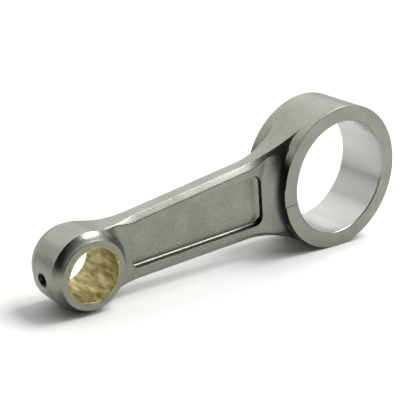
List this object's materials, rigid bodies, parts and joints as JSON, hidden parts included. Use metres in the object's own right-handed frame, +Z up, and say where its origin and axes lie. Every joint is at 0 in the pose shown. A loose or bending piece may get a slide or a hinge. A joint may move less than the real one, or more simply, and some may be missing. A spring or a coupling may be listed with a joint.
{
  "type": "connecting rod",
  "caption": "Forged connecting rod with a wide plain big-end ring, a pocketed flat beam, and a small-end eye with a pressed-in bronze bush and an oil hole.",
  "frame": {"origin": "centre of the big-end bore, on the rod's middle plane", "axes": "+Z up with both round ends standing on one level plane at z = -28 mm; both bore axes along Y; the small end points towards -X and leans down; the rod is mirror symmetric about the XZ plane"},
  "size_m": [0.1523, 0.0222, 0.056],
  "materials": {
    "rod_steel": "satin shot-peened steel, with turned faces and a ground big-end bore",
    "bush_bronze": "reamed bearing bronze"
  },
  "bodies": {
    "root": {"rod_forging": "rod_steel", "small_end_bush": "bush_bronze"}
  },
  "joints": []
}
